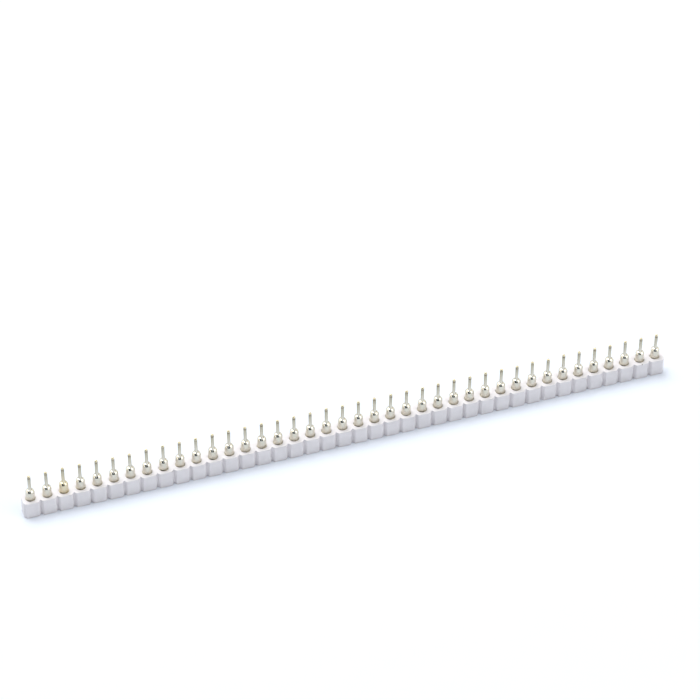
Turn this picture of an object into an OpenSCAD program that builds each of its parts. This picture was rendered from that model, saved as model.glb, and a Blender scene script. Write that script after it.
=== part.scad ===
// Single-row turned-pin socket strip, lying on its socket face with the solder tails up.
// The row runs along X, the socket face is the plane z = 0, and the origin is at its middle.

/* [Row] */
// Number of contact positions in the row
positions = 40; // [2:1:40]
// Distance between neighbouring positions
pitch = 2.54; // [2.5:0.01:2.7]

/* [Insulating body] */
// Width of the body across the row
body_w = 2.54; // [2.4:0.02:3]
// Height of the body from the socket face to the tail face
body_h = 2.8; // [2.4:0.1:3.6]
// Rounding along the body's four long edges
edge_r = 0.1; // [0.04:0.02:0.2]
// Width of a breakaway groove where it opens on the side of the body
groove_w = 0.76; // [0.6:0.02:0.9]
// Included angle between the two flanks of a breakaway groove
groove_angle = 76; // [70:1:100]
// Radius at the bottom of a breakaway groove
groove_r = 0.1; // [0.04:0.02:0.14]
// Diameter of the hole that each sleeve is pressed into
hole_d = 1.56; // [1.5:0.02:1.64]

/* [Turned sleeve] */
// Diameter of the sleeve's flanged head
head_d = 1.83; // [1.75:0.01:1.95]
// Thickness of the sleeve's flanged head
head_h = 0.4; // [0.3:0.05:0.6]
// Depth of the head's face below the body's socket face
head_sink = 0.08; // [0.02:0.02:0.2]
// Length of the press-fit band behind the head
band_h = 1.1; // [0.5:0.05:1.4]
// Diameter of the barrel
barrel_d = 1.35; // [1.28:0.01:1.42]
// Height of the barrel's straight wall above the body's tail face
barrel_rise = 1.38; // [1:0.02:1.8]
// Radius of the rounded shoulder between barrel and tail
shoulder_r = 0.36; // [0.2:0.02:0.38]
// Diameter of the solder tail
tail_d = 0.5; // [0.4:0.02:0.54]
// Height of the tail's tip above the body's tail face
tail_rise = 4.6; // [3.2:0.1:5]
// Radius of the fillet where the tail leaves the shoulder
root_r = 0.05; // [0.02:0.01:0.06]
// Diameter of the blind bore that holds the spring contact
bore_d = 1.06; // [1:0.01:1.1]
// Depth of the straight bore below the head's face
bore_depth = 3.5; // [3.2:0.05:3.9]
// Diameter of the lead-in countersink at the head's face
lead_in_d = 1.5; // [1.3:0.02:1.6]
// Included angle of the lead-in countersink
lead_in_angle = 70; // [60:5:90]

/* [Spring contact] */
// Thickness of the spring sheet
clip_t = 0.15; // [0.15:0.01:0.17]
// Overall length of the spring contact
clip_length = 2.4; // [2:0.05:2.7]
// Length of the closed ring at the contact's mouth
clip_ring_h = 0.8; // [0.5:0.05:1]
// Opening between the four finger tips
finger_gap_d = 0.42; // [0.42:0.01:0.48]
// Width of the slots between the fingers
finger_slot = 0.16; // [0.1:0.02:0.24]

/* [Fits] */
// Radial clearance between pieces that are pressed into one another
press_gap = 0.01; // [0.005:0.005:0.02]

/* [Hidden] */
$fn = 48;

row_l = positions * pitch;
over = 0.5; // how far a cutting tool reaches past the face that it cuts
drill_point_angle = 118; // cone left at the bottom of a drilled bore

// Heights in the finished strip
seat_z = head_sink + head_h;
band_top = seat_z + band_h;
barrel_top = body_h + barrel_rise;
shoulder_top = barrel_top + shoulder_r;
tip_z = body_h + tail_rise;
lead_in_h = (lead_in_d - bore_d) / 2 / tan(lead_in_angle / 2);
clip_z = head_sink + lead_in_h;
drill_point_h = bore_d / 2 / tan(drill_point_angle / 2);

function sleeve_name(i) = str("sleeve_", i < 10 ? "0" : "", i);
function position_x(i) = (i - (positions + 1) / 2) * pitch;
function groove_x(i) = (i - positions / 2) * pitch;

module at_position(i) {
    translate([position_x(i), 0, 0]) children();
}

// Half of a turned profile: the material lies at x > 0 and the axis is the Y axis
module turned() {
    rotate_extrude() intersection() {
        children();
        square([body_w, 2 * tip_z]);
    }
}

// ---- Insulating body ----

module rounded_rect(w, h, r) {
    translate([-w / 2 + r, 0]) square([w - 2 * r, h]);
    translate([-w / 2, r]) square([w, h - 2 * r]);
    for (x = [-w / 2 + r, w / 2 - r], y = [r, h - r]) translate([x, y]) circle(r);
}

// A V groove with a round bottom, cut towards -Y from the X axis
module groove() {
    half = groove_angle / 2;
    centre_y = groove_r / sin(half) - groove_w / 2 / tan(half);
    tangent = [groove_r * cos(half), centre_y - groove_r * sin(half)];
    polygon([
        [-groove_w / 2, over], [-groove_w / 2, 0], [-tangent.x, tangent.y],
        [tangent.x, tangent.y], [groove_w / 2, 0], [groove_w / 2, over]
    ]);
    translate([0, centre_y]) circle(groove_r);
}

module body_outline() {
    difference() {
        square([row_l, body_w], center = true);
        for (i = [0:positions], turn = [0, 180])
            rotate(turn) translate([groove_x(i), body_w / 2]) groove();
    }
}

// Stepped hole that takes one sleeve: a seat for its head and a bore for its band
module sleeve_seat() {
    translate([0, 0, -over]) cylinder(d = head_d + 2 * press_gap, h = seat_z + over);
    translate([0, 0, -over]) cylinder(d = hole_d, h = body_h + 2 * over);
}

module insulator() {
    color([0.93, 0.93, 0.95]) difference() {
        intersection() {
            linear_extrude(body_h) body_outline();
            rotate([90, 0, 90])
                linear_extrude(row_l, center = true) rounded_rect(body_w, body_h, edge_r);
        }
        for (i = [1:positions]) at_position(i) sleeve_seat();
    }
}

// ---- Turned sleeve ----

module sleeve_outside() {
    translate([0, head_sink]) square([head_d / 2, head_h]);
    translate([0, seat_z]) square([hole_d / 2 - press_gap, band_h]);
    translate([0, seat_z]) square([barrel_d / 2, barrel_top - seat_z]);
    translate([0, barrel_top]) square([barrel_d / 2 - shoulder_r, shoulder_r]);
    translate([barrel_d / 2 - shoulder_r, barrel_top]) circle(shoulder_r);
    translate([0, shoulder_top]) square([tail_d / 2, tip_z - tail_d / 2 - shoulder_top]);
    translate([0, tip_z - tail_d / 2]) circle(tail_d / 2);
    translate([tail_d / 2, shoulder_top]) difference() {
        square(root_r);
        translate([root_r, root_r]) circle(root_r);
    }
}

module sleeve_bore() {
    translate([0, head_sink]) polygon([
        [0, -over], [lead_in_d / 2, -over], [lead_in_d / 2, 0], [bore_d / 2, lead_in_h],
        [bore_d / 2, bore_depth], [0, bore_depth + drill_point_h]
    ]);
}

module sleeve() {
    color([0.80, 0.77, 0.69]) turned() difference() {
        sleeve_outside();
        sleeve_bore();
    }
}

// ---- Spring contact ----

module clip_profile() {
    outer = bore_d / 2 - press_gap;
    translate([outer - clip_t, clip_z]) square([clip_t, clip_ring_h]);
    translate([0, clip_z]) polygon([
        [outer - clip_t, clip_ring_h], [outer, clip_ring_h],
        [finger_gap_d / 2 + clip_t, clip_length], [finger_gap_d / 2, clip_length]
    ]);
}

module clip() {
    slot_z = clip_z + clip_ring_h;
    difference() {
        turned() clip_profile();
        for (turn = [0, 90])
            rotate(turn) translate([-bore_d, -finger_slot / 2, slot_z])
                cube([2 * bore_d, finger_slot, clip_length]);
    }
}

module contact_clips() {
    color([0.83, 0.68, 0.40]) for (i = [1:positions]) at_position(i) clip();
}

insulator();
for (i = [1:positions])
    at_position(i) sleeve();
contact_clips();
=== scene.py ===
import math
import random

import bmesh
import bpy
from mathutils import Matrix, Vector


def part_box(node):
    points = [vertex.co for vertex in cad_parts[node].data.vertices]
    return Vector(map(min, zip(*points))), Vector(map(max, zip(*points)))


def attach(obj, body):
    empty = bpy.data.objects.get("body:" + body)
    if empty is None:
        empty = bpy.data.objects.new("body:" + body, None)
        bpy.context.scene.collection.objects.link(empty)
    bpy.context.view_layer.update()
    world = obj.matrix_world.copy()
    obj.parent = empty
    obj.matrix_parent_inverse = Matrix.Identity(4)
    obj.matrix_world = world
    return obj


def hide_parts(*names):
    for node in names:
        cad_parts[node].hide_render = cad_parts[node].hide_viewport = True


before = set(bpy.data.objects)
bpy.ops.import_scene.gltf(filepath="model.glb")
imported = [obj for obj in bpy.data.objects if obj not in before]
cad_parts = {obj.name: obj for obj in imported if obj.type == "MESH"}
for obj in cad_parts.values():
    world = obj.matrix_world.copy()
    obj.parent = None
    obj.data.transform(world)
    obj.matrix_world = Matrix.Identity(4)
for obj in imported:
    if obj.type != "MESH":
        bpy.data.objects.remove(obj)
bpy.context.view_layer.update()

bl_info = {
    "name": "Turned Pin Socket Strip",
    "version": (1, 0, 0),
    "blender": (4, 5, 0),
    "location": "3D View > Sidebar > Socket Strip",
    "description": "Dresses a single-row turned-pin socket strip and sets it on a pale floor",
    "category": "Object",
}

MM = 0.001

# Places, read from the CAD nodes
SLEEVE_NODES = sorted(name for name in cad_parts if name.startswith("sleeve_"))
BODY_LOW, BODY_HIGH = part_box("insulator")
CLIPS_LOW, CLIPS_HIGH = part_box("contact_clips")
SLEEVE_LOW, SLEEVE_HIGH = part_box(SLEEVE_NODES[0])
POSITIONS_X = [(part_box(name)[0].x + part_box(name)[1].x) / 2 for name in SLEEVE_NODES]
PITCH = (POSITIONS_X[-1] - POSITIONS_X[0]) / (len(POSITIONS_X) - 1)

# Two positions carry a mark of their own: a speck on the body's edge, and a yellower sleeve
SPECKED, GOLDEN = 39, 3
SPECK_BACK, SPECK_BELOW = 0.03 * MM, 0.04 * MM
SPECK_PLACE = (POSITIONS_X[SPECKED - 1], BODY_LOW.y + SPECK_BACK, BODY_HIGH.z - SPECK_BELOW)
GOLDEN_X = POSITIONS_X[GOLDEN - 1]

# How finely the meshes are made, and how close counts as joined, level or flat
GROOVE_STEPS = 4
HOLE_STEPS = 48
EDGE_STEPS = 3
TIP_STEPS = 8
ROOT_STEPS = 3
SHOULDER_STEPS = 12
SLEEVE_STEPS = 40
CONTACT_STEPS = 32
FINGER_STEPS = 4
WELD = 0.001 * MM
ON_PLANE = 0.0001 * MM
BEVELLED_FROM = math.radians(25)
SMOOTH_UP_TO = math.radians(40)
FLAT_WITHIN = math.radians(0.5)

# Each tail's end: how far its tip and the stretch with the painted dark reflection reach down, in
# tail radii, and their marks in a vertex layer
TIP_REACH, PAINTED_REFLECTION_REACH = 1.2, 3.4
TIP_LAYER = "tip"
TIP_MARK, PAINTED_REFLECTION_MARK = 1.0, 0.6

# The order in which the tails differ is drawn from this seed
TAIL_SEED = 7

# The camera's sensor in millimetres, and the stretch in metres that it sees
SENSOR_WIDTH = 36.0
SEEN_FROM, SEEN_TO = 0.01, 20.0

# Where the parts of the tent lie, by direction. Each pair holds the values between which a part
# eases in, or eases out towards its top and beside the opening
OPENING_TURN = math.radians(-22)
OPENING_ASIDE, OPENING_AHEAD, OPENING_TOP = (0.44, 0.68), (0.0, 0.25), (0.86, 0.98)
WALL_ACROSS, WALL_FOOT, WALL_TOP = (0.3, 0.6), (0.0, 0.1), (0.6, 0.85)
BACK_BEHIND, BACK_TOP = (0.1, 0.6), (0.6, 0.9)
PAGE_BEHIND = (0.6, 0.85)
GLINT_ACROSS, GLINT_HALF_WIDTH, GLINT_FOOT = -0.02, 0.06, 0.45


def length_of(name, about, millimetres):
    return bpy.props.FloatProperty(name=name, description=about, default=millimetres * MM, min=0.0,
                                   subtype="DISTANCE", unit="LENGTH", precision=5)


def angle_of(name, about, degrees):
    return bpy.props.FloatProperty(name=name, description=about, default=math.radians(degrees),
                                   subtype="ANGLE", unit="ROTATION")


def factor_of(name, about, value, top=1.0):
    return bpy.props.FloatProperty(name=name, description=about, default=value, min=0.0, max=top)


def power_of(name, watts):
    return bpy.props.FloatProperty(name=name, description="Power in watts", default=watts, min=0.0)


def place_of(name, about, metres):
    return bpy.props.FloatVectorProperty(name=name, description=about, default=metres, size=3,
                                         subtype="TRANSLATION", unit="LENGTH")


def colour_of(name, about, value):
    return bpy.props.FloatVectorProperty(name=name, description=about, default=value, size=3,
                                         min=0.0, max=1.0, subtype="COLOR")


# ---- Settings ----

class StripBodySettings(bpy.types.PropertyGroup):
    groove_width: length_of("Groove width", "Opening of a breakaway groove", 0.76)
    groove_angle: angle_of("Groove angle", "Angle between a groove's flanks", 76)
    groove_radius: length_of("Groove radius", "Rounding at the bottom of a groove", 0.1)
    hole: length_of("Hole", "Diameter of the hole round each barrel", 1.56)
    seat: length_of("Seat", "Diameter of the recess for each sleeve's head", 1.85)
    seat_depth: length_of("Seat depth", "Depth of the recess for each sleeve's head", 0.48)
    edge: length_of("Edge rounding", "Rounding along every moulded edge", 0.05)
    colour: colour_of("Plastic", "Colour of the moulded plastic", (0.88, 0.842, 0.85))
    torn: colour_of("Torn plastic", "Colour where the strip was snapped off", (0.95, 0.95, 0.96))
    # Foot: the colour of the painted contact shadow along the body's foot, and, darkened, of the
    # speck
    foot: colour_of("Foot", "Colour of the painted shadow along the foot and of the speck", (0.62, 0.55, 0.54))
    roughness: factor_of("Plastic roughness", "Satin of the moulded plastic", 0.36)


class TurnedSleeveSettings(bpy.types.PropertyGroup):
    head_thickness: length_of("Head thickness", "Thickness of the flanged head", 0.4)
    band: length_of("Band", "Diameter of the press-fit band", 1.54)
    band_length: length_of("Band length", "Length of the press-fit band", 2.26)
    barrel: length_of("Barrel", "Diameter of the barrel", 1.35)
    crown: length_of("Crown", "Height at which the shoulder meets the tail", 4.54)
    shoulder: length_of("Shoulder", "Size of the rounded shoulder", 0.36)
    shoulder_edge: angle_of("Shoulder edge", "Turn where the shoulder meets the barrel", 18)
    root: length_of("Root", "Fillet where the tail leaves the shoulder", 0.05)
    tail: length_of("Tail", "Diameter of the solder tail", 0.5)
    cut: length_of("Cut", "Largest difference in length between the tails", 0.25)
    lean: angle_of("Lean", "Largest lean of a tail", 1.1)
    bore: length_of("Bore", "Diameter of the blind bore", 1.06)
    bore_end: length_of("Bore end", "Height at which the straight bore ends", 3.58)
    drill_point: length_of("Drill point", "Length of the cone past the bore", 0.318)
    lead_in: length_of("Lead-in", "Diameter of the countersink", 1.5)
    lead_in_depth: length_of("Lead-in depth", "Depth of the countersink", 0.314)
    break_edge: length_of("Broken edge", "Size of the broken turned edges", 0.03)
    colour: colour_of("Plating", "Colour of the bright plating", (0.66, 0.63, 0.55))
    # Tail: the colour that each tail darkens to towards its top
    tail_colour: colour_of("Tail", "Colour that a tail darkens to at its top", (0.45, 0.42, 0.32))
    tip_colour: colour_of("Tip", "Colour of the cut tips", (0.72, 0.64, 0.44))
    # Burnt plating: the colour of the painted shade round the barrels' feet and of the painted dark
    # reflection below the tips
    painted_shade_colour: colour_of("Painted shade", "Colour of the painted shade and dark reflections", (0.22, 0.18, 0.12))
    golden_colour: colour_of("Golden plating", "Colour of the yellowest sleeve", (0.70, 0.60, 0.38))
    roughness: factor_of("Plating roughness", "Polish of the plating", 0.22)


class SpringContactSettings(bpy.types.PropertyGroup):
    sheet: length_of("Sheet", "Thickness of the spring sheet", 0.15)
    ring: length_of("Ring", "Outer diameter of the mouth ring", 1.04)
    ring_length: length_of("Ring length", "Length of the mouth ring", 0.8)
    gap: length_of("Gap", "Opening between the finger tips", 0.42)
    slot: length_of("Slot", "Width of the slots between the fingers", 0.16)
    colour: colour_of("Contact", "Colour of the spring contacts", (0.83, 0.64, 0.33))
    roughness: factor_of("Contact roughness", "Polish of the spring contacts", 0.24)


class StripStageSettings(bpy.types.PropertyGroup):
    eye: place_of("Camera place", "Where the camera stands", (-0.112187, -0.328476, 0.323617))
    pitch: angle_of("Pitch", "How far the camera looks down", 41.3774)
    turn: angle_of("Turn", "How far the camera is turned from the row", -18.8411)
    roll: angle_of("Roll", "Roll about the line of sight", 0.218)
    lens: bpy.props.FloatProperty(name="Lens", description="Focal length on a 36 mm sensor",
                                  default=161.523, subtype="DISTANCE_CAMERA")
    floor: colour_of("Floor", "Colour of the pale floor", (0.86, 0.905, 0.975))
    floor_reach: length_of("Floor reach", "Half the width of the floor", 3000)
    tent: factor_of("Tent light", "Level of the white tent round the strip", 0.66, 2.0)
    back: factor_of("Back light", "Level of the tent's back, as a share of the tent's", 0.4)
    walls: factor_of("Side walls", "How much brighter metal shows the side walls", 0.9, 2.0)
    opening: factor_of("Opening", "How much darker the tent is where the camera looks in", 0.9)
    dusk: colour_of("Dusk", "Colour of the dim opening", (0.68, 0.8, 1.0))
    glint: factor_of("Glint", "Level of the bright line that metal shows in the opening", 1.7, 4.0)
    glint_colour: colour_of("Glint colour", "Colour of that bright line", (0.75, 0.85, 1.0))
    lamps: colour_of("Lamps", "Colour of the softboxes", (0.95, 0.975, 1.0))
    top: power_of("Top softbox", 7.9)
    top_place: place_of("Top place", "Where the top softbox hangs", (-0.15, 0.4, 0.9))
    top_size: length_of("Top size", "Width of the top softbox", 800)
    right: power_of("Right softbox", 2.5)
    right_place: place_of("Right place", "Where the right softbox hangs", (0.45, -0.35, 0.75))
    right_size: length_of("Right size", "Width of the right softbox", 700)


# ---- Shader writing ----

class Channel:
    """One shader value. Arithmetic on it adds the Math nodes that work it out."""

    def __init__(self, recipe, socket):
        self.recipe, self.socket = recipe, socket

    def maths(self, operation, *values):
        return self.recipe.node("Math", {"operation": operation}, dict(enumerate(values)))

    def __add__(self, other):
        return self.maths("ADD", self, other)

    def __sub__(self, other):
        return self.maths("SUBTRACT", self, other)

    def __rsub__(self, other):
        return self.maths("SUBTRACT", other, self)

    def __mul__(self, other):
        return self.maths("MULTIPLY", self, other)

    def __gt__(self, other):
        return self.maths("GREATER_THAN", self, other)

    def __lt__(self, other):
        return self.maths("LESS_THAN", self, other)

    def __abs__(self):
        return self.maths("ABSOLUTE", self)

    __radd__, __rmul__ = __add__, __mul__


class Recipe:
    """The node tree of one finish. node() adds a node, sets it, feeds it and returns an output."""

    def __init__(self, tree):
        self.tree = tree
        tree.nodes.clear()

    def node(self, kind, settings, sockets, out=0):
        made = self.tree.nodes.new("ShaderNode" + kind)
        for name, value in settings.items():
            setattr(made, name, value)
        for name, value in sockets.items():
            if isinstance(value, Channel):
                self.tree.links.new(value.socket, made.inputs[name])
            else:
                made.inputs[name].default_value = value
        return Channel(self, made.outputs[out]) if made.outputs else made

    def place(self):
        return self.node("TexCoord", {}, {}, "Object")

    def axes(self, vector):
        split = self.node("SeparateXYZ", {}, {0: vector})
        return [Channel(self, socket) for socket in split.socket.node.outputs]

    def stretch(self, vector, scale):
        return self.node("Mapping", {}, {"Vector": vector, "Scale": scale})

    def noise(self, vector, size, detail=3.0, roughness=0.55):
        """Noise from 0 to 1 whose largest grains are about size metres across."""
        return self.node("TexNoise", {}, {"Vector": vector, "Scale": 1 / size, "Detail": detail,
                                          "Roughness": roughness})

    def smooth(self, value, low, high):
        """0 below low and 1 above high, easing between them."""
        return self.node("MapRange", {"interpolation_type": "SMOOTHSTEP"},
                         {"Value": value, "From Min": low, "From Max": high})

    def larger(self, a, b):
        return a.maths("MAXIMUM", a, b)

    def mix(self, factor, a, b):
        return self.node("Mix", {"data_type": "RGBA"}, {0: factor, 6: a, 7: b}, 2)

    def bump(self, height, strength, depth):
        return self.node("Bump", {}, {"Height": height, "Strength": strength, "Distance": depth})

    def glow(self, strength, colour=(1.0, 1.0, 1.0)):
        return self.node("Background", {}, {"Color": rgba(colour), "Strength": strength})

    def blend(self, factor, a, b):
        return self.node("MixShader", {}, {0: factor, 1: a, 2: b})

    def finish(self, sockets):
        shader = self.node("BsdfPrincipled", {}, sockets)
        self.node("OutputMaterial", {}, {"Surface": shader})


def rgba(colour, gain=1.0):
    return tuple(min(1.0, channel * gain) for channel in colour) + (1.0,)


def new_material(name, preview):
    material = bpy.data.materials.new(name)
    material.use_nodes = True
    material.diffuse_color = rgba(preview)
    return material, Recipe(material.node_tree)


def moulded_plastic(settings):
    """Satin plastic with faint flow marks, torn ends, a painted contact shadow along the foot and
    one speck.
    """
    material, r = new_material("moulded_white_plastic", settings.colour)
    place = r.place()
    along_row, _, z = r.axes(place)
    cloud = r.noise(place, size=2.6 * MM, detail=2.0)
    flow = r.noise(r.stretch(place, (0.25, 1.0, 1.0)), size=0.5 * MM, detail=4.0)
    grain = r.noise(place, size=0.06 * MM, roughness=0.7)
    crumb = r.noise(place, size=0.22 * MM, detail=5.0, roughness=0.7)
    torn = abs(along_row) > (BODY_HIGH.x - 0.03 * MM)
    # Painted contact shadow: darker towards the bottom, where the body meets the floor
    painted_foot_shadow = 1 - r.smooth(z, 0.03 * MM, 0.16 * MM)
    to_speck = r.node("VectorMath", {"operation": "DISTANCE"}, {0: place, 1: SPECK_PLACE}, "Value")
    speck = 1 - r.smooth(to_speck, 0.06 * MM, 0.14 * MM)

    shade = r.mix(r.smooth(cloud * 0.6 + flow * 0.4, 0.35, 0.65),
                  rgba(settings.colour, gain=0.975), rgba(settings.colour, gain=1.02))
    shade = r.mix(torn * crumb * 0.5, shade, rgba(settings.torn))
    # Painted contact shadow along the foot
    shade = r.mix(painted_foot_shadow * 0.7, shade, rgba(settings.foot))
    shade = r.mix(speck, shade, rgba(settings.foot, gain=0.6))
    relief = flow * 0.35 + grain * 0.5 + torn * crumb * 8.0
    r.finish({"Base Color": shade, "IOR": 1.5,
              "Roughness": settings.roughness + (flow - 0.5) * 0.12 + torn * 0.2,
              "Normal": r.bump(relief, strength=0.35, depth=0.006 * MM)})
    return material


def bright_plating(settings):
    """Bright plating with turning rings, polished shoulders and tails that darken towards their
    tops, with a painted dark reflection below the tips on the camera's side, and painted shade in
    the gaps round the barrels' feet."""
    material, r = new_material("bright_tin_plating", settings.colour)
    place = r.place()
    x, y, z = r.axes(place)
    each = r.noise(r.stretch(place, (1.0, 0.0, 0.0)), size=1.9 * MM, detail=1.0)
    mottle = r.noise(place, size=0.35 * MM)
    rings = r.noise(r.stretch(place, (0.02, 0.02, 1.0)), size=0.035 * MM, roughness=0.65)
    scuffs = r.noise(r.stretch(place, (1.0, 1.0, 0.12)), size=0.05 * MM, detail=2.0)
    dents = r.noise(place, size=0.9 * MM, detail=1.0)

    tail_face, crown, shoulder = BODY_HIGH.z, settings.crown, settings.crown - settings.shoulder
    mark = r.node("Attribute", {"attribute_name": TIP_LAYER}, {}, "Fac")
    tip = r.smooth(mark, 0.65, 0.95)
    # Painted dark reflection: a patchy dark mark below each tip, only on the side facing the camera
    front = 1 - r.smooth(y, -0.16 * MM, 0.1 * MM)
    painted_dark_reflection = r.smooth(mark, 0.2, 0.5) * (1 - tip) * front * r.smooth(each, 0.25, 0.6)
    # Darker towards the top of each tail
    up_tail = r.smooth(z, crown - 0.04 * MM, SLEEVE_HIGH.z - 0.2 * MM)
    dome = (r.smooth(z, shoulder - 0.1 * MM, shoulder + 0.02 * MM)
            * (1 - r.smooth(z, crown - 0.04 * MM, crown + 0.16 * MM)))
    # Painted shade in the gap round each barrel's foot, just below the body's top
    rim = (r.smooth(z, tail_face - 0.5 * MM, tail_face - 0.3 * MM)
           * (1 - r.smooth(z, tail_face, tail_face + 0.06 * MM)))
    golden = abs(x - GOLDEN_X) < 1.0 * MM

    red, green, blue = settings.colour
    shade = r.mix(each, rgba(settings.colour, gain=1.05),
                  rgba((red, green * 0.985, blue * 0.93), gain=0.98))
    shade = r.mix(r.smooth(mottle, 0.45, 0.75) * 0.35, shade, rgba(settings.colour, gain=0.84))
    shade = r.mix(golden * 0.6, shade, rgba(settings.golden_colour))
    shade = r.mix(up_tail, shade, rgba(settings.tail_colour))
    # Painted shade in the gaps round the barrels' feet
    shade = r.mix(rim * 0.4, shade, rgba(settings.painted_shade_colour))
    # Painted dark reflection below the tips
    shade = r.mix(painted_dark_reflection, shade, rgba(settings.painted_shade_colour))
    shade = r.mix(tip * 0.7, shade, rgba(settings.tip_colour))
    polish = r.larger(dome, tip) * 0.2
    relief = rings * 0.0007 + scuffs * 0.0003 + dents * 0.07
    r.finish({"Base Color": shade, "Metallic": 1.0,
              "Roughness": settings.roughness + rings * 0.06 + mottle * 0.06 - polish,
              "Normal": r.bump(relief, strength=1.0, depth=MM)})
    return material


def gilded_spring(settings):
    """Gilded spring sheet with faint drawing marks."""
    material, r = new_material("gilded_spring_sheet", settings.colour)
    place = r.place()
    mottle = r.noise(place, size=0.3 * MM)
    drawn = r.noise(r.stretch(place, (1.0, 1.0, 0.08)), size=0.03 * MM)
    shade = r.mix(r.smooth(mottle, 0.35, 0.7),
                  rgba(settings.colour, gain=1.04), rgba(settings.colour, gain=0.82))
    r.finish({"Base Color": shade, "Metallic": 1.0,
              "Roughness": settings.roughness + drawn * 0.14,
              "Normal": r.bump(drawn, strength=0.3, depth=0.003 * MM)})
    return material


def pale_floor(settings):
    """A matt pale sheet."""
    material, r = new_material("pale_floor", settings.floor)
    tooth = r.noise(r.place(), size=6 * MM)
    shade = r.mix(tooth, rgba(settings.floor, gain=0.995), rgba(settings.floor, gain=1.005))
    r.finish({"Base Color": shade, "Roughness": 0.9, "Specular IOR Level": 0.1})
    return material


# ---- Modelling ----

def verts_in(geometry):
    return [item for item in geometry if isinstance(item, bmesh.types.BMVert)]


def everything(bm):
    return bm.verts[:] + bm.edges[:] + bm.faces[:]


class Outline:
    """Half a turned profile: a point travels in the XZ plane and leaves edges to turn about Z."""

    def __init__(self, x, z):
        self.bm = bmesh.new()
        self.point = self.bm.verts.new((x, 0.0, z))

    def line(self, x, z):
        self.point = bmesh.ops.extrude_vert_indiv(self.bm, verts=[self.point])["verts"][0]
        self.point.co = (x, 0.0, z)
        return self

    def arc(self, x, z, degrees, steps):
        turned = bmesh.ops.spin(self.bm, geom=[self.point], cent=(x, 0.0, z), axis=(0.0, 1.0, 0.0),
                                angle=math.radians(degrees), steps=steps)
        self.point = verts_in(turned["geom_last"])[0]
        return self

    def turn(self, steps):
        bmesh.ops.spin(self.bm, geom=self.bm.verts[:] + self.bm.edges[:], cent=(0.0, 0.0, 0.0),
                       axis=(0.0, 0.0, 1.0), angle=math.tau, steps=steps, use_merge=True)
        bmesh.ops.remove_doubles(self.bm, verts=self.bm.verts[:], dist=WELD / 2)
        bmesh.ops.recalc_face_normals(self.bm, faces=self.bm.faces[:])
        return self.bm


def repeat_along_row(bm):
    """Copies what is in the mesh to every position of the row."""
    first = everything(bm)
    for x in POSITIONS_X[1:]:
        copy = bmesh.ops.duplicate(bm, geom=first)["geom"]
        bmesh.ops.translate(bm, vec=(x, 0.0, 0.0), verts=verts_in(copy))
    bmesh.ops.translate(bm, vec=(POSITIONS_X[0], 0.0, 0.0), verts=verts_in(first))


def drop_edges(bm, edges, z, radius=None):
    """Extrudes edges to the height z, or to a radius about Z there, and returns the new edges."""
    made = bmesh.ops.extrude_edge_only(bm, edges=edges)["geom"]
    verts = verts_in(made)
    for v in verts:
        v.co.z = z
        if radius:
            v.co.xy = v.co.xy.normalized() * radius
    return [item for item in made if isinstance(item, bmesh.types.BMEdge)
            and all(v in verts for v in item.verts)]


def place_piece(bm, name, material, nodes):
    """Makes the mesh an object of the strip, in the place of the CAD nodes."""
    mesh = bpy.data.meshes.new(name)
    bm.to_mesh(mesh)
    bm.free()
    mesh.shade_smooth()
    mesh.set_sharp_from_angle(angle=SMOOTH_UP_TO)
    mesh.materials.append(material)
    piece = bpy.data.objects.new(name, mesh)
    bpy.context.scene.collection.objects.link(piece)
    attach(piece, "root")
    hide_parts(*nodes)
    return piece


def body_corner(settings):
    """Plan of a quarter of one position, from the bottom of a groove to the side's flat."""
    half_angle = settings.groove_angle / 2
    mouth = settings.groove_width / 2
    centre_y = (BODY_LOW.y + mouth / math.tan(half_angle)
                - settings.groove_radius / math.sin(half_angle))
    points = []
    for step in range(GROOVE_STEPS + 1):
        swing = (math.pi / 2 - half_angle) * step / GROOVE_STEPS
        points.append((PITCH / 2 - settings.groove_radius * math.sin(swing),
                       centre_y + settings.groove_radius * math.cos(swing)))
    points.append((PITCH / 2 - mouth, BODY_LOW.y))
    return points


def beside_neighbour(vert):
    """Whether a vertex of one position lies where the next position joins on."""
    return abs(abs(vert.co.x) - PITCH / 2) < ON_PLANE


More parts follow.
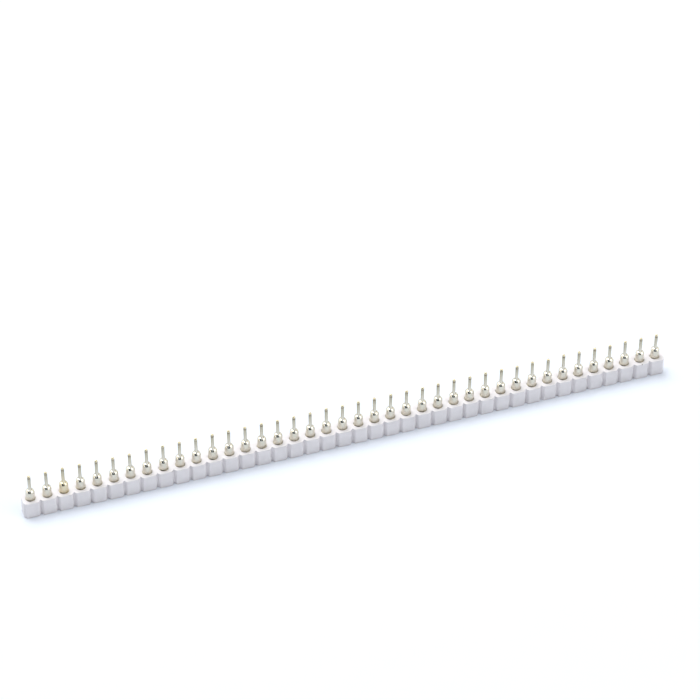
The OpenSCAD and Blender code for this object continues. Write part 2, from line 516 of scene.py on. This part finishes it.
class STRIP_OT_mould_body(bpy.types.Operator):
    """Mould the insulating body with its breakaway grooves and stepped holes"""
    bl_idname = "socket_strip.mould_body"
    bl_label = "Mould Body"

    def execute(self, context):
        settings = context.scene.strip_body
        bm = bmesh.new()
        self.mould_position(bm, settings)
        repeat_along_row(bm)
        bmesh.ops.remove_doubles(bm, verts=bm.verts[:], dist=WELD)
        bmesh.ops.holes_fill(bm, edges=[edge for edge in bm.edges if edge.is_boundary], sides=0)
        bmesh.ops.recalc_face_normals(bm, faces=bm.faces[:])
        bmesh.ops.dissolve_limit(bm, angle_limit=FLAT_WITHIN, verts=bm.verts[:],
                                 edges=bm.edges[:])
        sharp = [edge for edge in bm.edges
                 if edge.is_manifold and edge.calc_face_angle() > BEVELLED_FROM]
        bmesh.ops.bevel(bm, geom=sharp, offset=settings.edge, offset_type="OFFSET",
                        segments=EDGE_STEPS, profile=0.5, affect="EDGES", clamp_overlap=True,
                        material=-1)
        body = place_piece(bm, "moulded_body", moulded_plastic(settings),
                           ["insulator"])
        even = body.modifiers.new("even_shading", "WEIGHTED_NORMAL")
        even.keep_sharp = True
        return {"FINISHED"}

    def mould_position(self, bm, settings):
        """One position, open at both ends of the row, where its neighbours join it."""
        corner = body_corner(settings)
        front = corner + [(-x, y) for x, y in reversed(corner)]
        plan = front + [(-x, -y) for x, y in front]
        rim = [bm.verts.new((x, y, BODY_HIGH.z)) for x, y in plan]
        outer = [bm.edges.new(pair) for pair in zip(rim, rim[1:] + rim[:1])]
        walls = [edge for edge in outer if not all(beside_neighbour(v) for v in edge.verts)]
        bmesh.ops.create_circle(bm, segments=HOLE_STEPS, radius=settings.hole / 2,
                                matrix=Matrix.Translation((0.0, 0.0, BODY_HIGH.z)))
        hole = [edge for edge in bm.edges if edge not in outer]
        bmesh.ops.triangle_fill(bm, edges=outer + hole, use_beauty=True)
        foot = drop_edges(bm, walls, BODY_LOW.z)
        seat = drop_edges(bm, hole, settings.seat_depth)
        seat = drop_edges(bm, seat, settings.seat_depth, radius=settings.seat / 2)
        seat = drop_edges(bm, seat, BODY_LOW.z)
        ends = sorted({v for edge in foot for v in edge.verts if beside_neighbour(v)},
                      key=lambda v: (v.co.x, v.co.y))
        foot += [bm.edges.new(ends[:2]), bm.edges.new(ends[2:])]
        bmesh.ops.triangle_fill(bm, edges=foot + seat, use_beauty=True)


class STRIP_OT_turn_sleeves(bpy.types.Operator):
    """Turn the plated sleeves, each with its barrel, rounded shoulder and solder tail"""
    bl_idname = "socket_strip.turn_sleeves"
    bl_label = "Turn Sleeves"

    def execute(self, context):
        s = context.scene.strip_sleeves
        tail = s.tail / 2
        root_z = s.crown + s.root
        painted_reflection_z = SLEEVE_HIGH.z - PAINTED_REFLECTION_REACH * tail
        pattern = self.turn_pattern(s, tail, root_z, painted_reflection_z)
        plating = bright_plating(s)
        drift = random.Random(TAIL_SEED)
        for name, x in zip(SLEEVE_NODES, POSITIONS_X):
            bm = pattern.copy()
            slope = math.tan(s.lean * drift.random())
            way = drift.uniform(0.0, math.tau)
            shear = Matrix.Identity(4)
            shear[0][2], shear[1][2] = slope * math.cos(way), slope * math.sin(way)
            bmesh.ops.transform(bm, matrix=shear, space=Matrix.Translation((0.0, 0.0, -root_z)),
                                verts=[v for v in bm.verts if v.co.z > root_z])
            bmesh.ops.translate(bm, vec=(0.0, 0.0, -s.cut * drift.random()),
                                verts=[v for v in bm.verts if v.co.z > painted_reflection_z - WELD])
            bmesh.ops.translate(bm, vec=(x, 0.0, 0.0), verts=bm.verts[:])
            place_piece(bm, "turned_" + name, plating, [name])
        pattern.free()
        return {"FINISHED"}

    def turn_pattern(self, s, tail, root_z, painted_reflection_z):
        """One upright sleeve on the Z axis, with its tail's tip and the stretch below it marked."""
        low, high = SLEEVE_LOW.z, SLEEVE_HIGH.z
        head, barrel, band = (SLEEVE_HIGH.x - SLEEVE_LOW.x) / 2, s.barrel / 2, s.band / 2
        lead_in, bore = s.lead_in / 2, s.bore / 2
        seat = low + s.head_thickness
        band_top = seat + s.band_length
        shoulder_z = s.crown - s.shoulder
        rise, run = math.sin(s.shoulder_edge), math.cos(s.shoulder_edge)
        bend = s.shoulder / (run - rise)
        tip_z = high - TIP_REACH * tail

        path = Outline(0.0, high).arc(0.0, high - tail, 90, TIP_STEPS)
        path.line(tail, tip_z).line(tail, painted_reflection_z).line(tail, root_z)
        path.arc(tail + s.root, root_z, -90, ROOT_STEPS)
        path.line(barrel - s.shoulder, s.crown)
        path.arc(barrel - bend * run, shoulder_z - bend * rise,
                 90 - 2 * math.degrees(s.shoulder_edge), SHOULDER_STEPS)
        path.line(barrel, shoulder_z - s.break_edge).line(barrel, band_top)
        path.line(band - s.break_edge, band_top).line(band, band_top - 3 * s.break_edge)
        path.line(band, seat).line(head - s.break_edge, seat).line(head, seat - s.break_edge)
        path.line(head, low + s.break_edge).line(head - s.break_edge, low)
        path.line(lead_in, low).line(bore, low + s.lead_in_depth)
        path.line(bore, s.bore_end).line(0.0, s.bore_end + s.drill_point)
        bm = path.turn(SLEEVE_STEPS)

        layer = bm.verts.layers.float.new(TIP_LAYER)
        for v in bm.verts:
            if v.co.z > tip_z + WELD:
                v[layer] = TIP_MARK
            elif v.co.z > painted_reflection_z + WELD:
                v[layer] = PAINTED_REFLECTION_MARK
        return bm


class STRIP_OT_form_contacts(bpy.types.Operator):
    """Form the four-fingered spring contacts inside the sleeves"""
    bl_idname = "socket_strip.form_contacts"
    bl_label = "Form Contacts"

    def execute(self, context):
        s = context.scene.strip_contacts
        ring, tip = (s.ring - s.sheet) / 2, (s.gap + s.sheet) / 2
        low, high = CLIPS_LOW.z, CLIPS_HIGH.z
        slot_z = low + s.ring_length
        path = Outline(ring, low).line(ring, slot_z)
        for step in range(FINGER_STEPS):
            share = (step + 1) / FINGER_STEPS
            path.line(ring + (tip - ring) * share, slot_z + (high - slot_z) * share)
        bm = path.turn(CONTACT_STEPS)
        self.cut_slots(bm, slot_z, s.slot / 2)
        bmesh.ops.solidify(bm, geom=bm.faces[:], thickness=s.sheet)
        repeat_along_row(bm)
        place_piece(bm, "spring_contacts", gilded_spring(s), ["contact_clips"])
        return {"FINISHED"}

    def cut_slots(self, bm, slot_z, half_width):
        """Cuts two crossed slots from the height slot_z up, which leaves four fingers."""
        for normal in (Vector((1.0, 0.0, 0.0)), Vector((0.0, 1.0, 0.0))):
            for side in (-1, 1):
                bmesh.ops.bisect_plane(bm, geom=everything(bm), dist=ON_PLANE / 10,
                                       plane_co=normal * side * half_width, plane_no=normal)
        centres = {face: face.calc_center_median() for face in bm.faces}
        cut = [face for face, centre in centres.items()
               if centre.z > slot_z and min(abs(centre.x), abs(centre.y)) < half_width]
        bmesh.ops.delete(bm, geom=cut, context="FACES")


class STRIP_OT_set_stage(bpy.types.Operator):
    """Set the pale floor, the soft lights and the camera"""
    bl_idname = "socket_strip.set_stage"
    bl_label = "Set Stage"

    def execute(self, context):
        s = context.scene.strip_stage
        scene = context.scene
        self.lay_floor(scene, s)
        self.light_room(scene, s)
        self.hang_softbox(scene, "top_softbox", s.top, s.lamps, s.top_place, s.top_size)
        self.hang_softbox(scene, "right_softbox", s.right, s.lamps, s.right_place, s.right_size)
        self.stand_camera(scene, s)
        scene.view_settings.view_transform = "Standard"
        return {"FINISHED"}

    def lay_floor(self, scene, s):
        bm = bmesh.new()
        bmesh.ops.create_grid(bm, x_segments=2, y_segments=2, size=s.floor_reach)
        mesh = bpy.data.meshes.new("floor")
        bm.to_mesh(mesh)
        bm.free()
        mesh.materials.append(pale_floor(s))
        floor = bpy.data.objects.new("floor", mesh)
        scene.collection.objects.link(floor)

    def light_room(self, scene, s):
        """A white tent lights the strip. It is dim and bluish where the camera looks in, and what
        looks past the strip sees a white page."""
        world = bpy.data.worlds.new("white_room")
        scene.world = world
        world.use_nodes = True
        r = Recipe(world.node_tree)
        way = r.node("TexCoord", {}, {}, "Generated")
        high = r.axes(way)[2]
        seen = (r.node("LightPath", {}, {}, "Is Camera Ray")
                + r.node("LightPath", {}, {}, "Is Transmission Ray"))
        mirrored = r.node("LightPath", {}, {}, "Is Glossy Ray")

        def towards(turn):
            """How far the way points along the row's direction, once that is turned about Z."""
            direction = (math.cos(turn), math.sin(turn), 0.0)
            return r.node("VectorMath", {"operation": "DOT_PRODUCT"}, {0: way, 1: direction},
                          "Value")

        quarter = math.pi / 2
        across, behind = towards(s.turn), towards(s.turn + quarter)
        aside, ahead = abs(towards(OPENING_TURN)), towards(OPENING_TURN - quarter)
        roof = r.smooth(high, *OPENING_TOP) * (1 - mirrored)
        opening = (1 - r.smooth(aside, *OPENING_ASIDE)) * r.smooth(ahead, *OPENING_AHEAD)
        opening = opening * (1 - roof)
        glint = abs(across - GLINT_ACROSS) < GLINT_HALF_WIDTH
        glint = glint * (opening > 0.5) * (high > GLINT_FOOT)
        walls = r.smooth(abs(across), *WALL_ACROSS) * r.smooth(high, *WALL_FOOT)
        walls = walls * (1 - r.smooth(high, *WALL_TOP))
        back = r.smooth(behind, *BACK_BEHIND) * (1 - r.smooth(high, *BACK_TOP))
        page = seen + mirrored * r.smooth(behind, *PAGE_BEHIND)

        room = r.blend(back, r.glow(s.tent), r.glow(s.tent * s.back))
        room = r.blend(walls * mirrored, room, r.glow(s.tent + s.walls))
        room = r.blend(opening, room, r.glow(s.tent * (1 - s.opening), s.dusk))
        room = r.blend(glint * mirrored, room, r.glow(s.glint, s.glint_colour))
        room = r.blend(page, room, r.glow(1.0))
        r.node("OutputWorld", {}, {"Surface": room})

    def hang_softbox(self, scene, name, power, colour, place, width):
        """A square lamp turned towards the strip. The camera doesn't see it."""
        light = bpy.data.lights.new(name, "AREA")
        light.shape = "SQUARE"
        light.size, light.energy, light.color = width, power, colour
        lamp = bpy.data.objects.new(name, light)
        lamp.location = place
        lamp.rotation_euler = (-place).to_track_quat("-Z", "Y").to_euler()
        lamp.visible_camera = False
        scene.collection.objects.link(lamp)

    def stand_camera(self, scene, s):
        data = bpy.data.cameras.new("camera")
        data.lens, data.sensor_width = s.lens, SENSOR_WIDTH
        data.clip_start, data.clip_end = SEEN_FROM, SEEN_TO
        camera = bpy.data.objects.new("camera", data)
        camera.location = s.eye
        aim = (Matrix.Rotation(s.turn, 4, "Z") @ Matrix.Rotation(math.pi / 2 - s.pitch, 4, "X")
               @ Matrix.Rotation(s.roll, 4, "Z"))
        camera.rotation_euler = aim.to_euler()
        scene.collection.objects.link(camera)
        scene.camera = camera


class STRIP_PT_panel(bpy.types.Panel):
    """Lists the settings and the steps of the strip"""
    bl_idname = "STRIP_PT_panel"
    bl_label = "Socket Strip"
    bl_space_type = "VIEW_3D"
    bl_region_type = "UI"
    bl_category = "Socket Strip"

    def draw(self, context):
        for step, group in STEPS:
            settings = getattr(context.scene, group)
            box = self.layout.box()
            for name in settings.__annotations__:
                box.prop(settings, name)
            box.operator(step.bl_idname)


STEPS = (
    (STRIP_OT_mould_body, "strip_body"),
    (STRIP_OT_turn_sleeves, "strip_sleeves"),
    (STRIP_OT_form_contacts, "strip_contacts"),
    (STRIP_OT_set_stage, "strip_stage"),
)
SETTINGS = {
    "strip_body": StripBodySettings,
    "strip_sleeves": TurnedSleeveSettings,
    "strip_contacts": SpringContactSettings,
    "strip_stage": StripStageSettings,
}
CLASSES = (*SETTINGS.values(), *(step for step, group in STEPS), STRIP_PT_panel)


def register():
    for cls in CLASSES:
        bpy.utils.register_class(cls)
    for name, group in SETTINGS.items():
        setattr(bpy.types.Scene, name, bpy.props.PointerProperty(type=group))


def unregister():
    for name in SETTINGS:
        delattr(bpy.types.Scene, name)
    for cls in reversed(CLASSES):
        bpy.utils.unregister_class(cls)


def main():
    register()
    bpy.ops.socket_strip.mould_body()
    bpy.ops.socket_strip.turn_sleeves()
    bpy.ops.socket_strip.form_contacts()
    bpy.ops.socket_strip.set_stage()


if __name__ == "__main__":
    main()
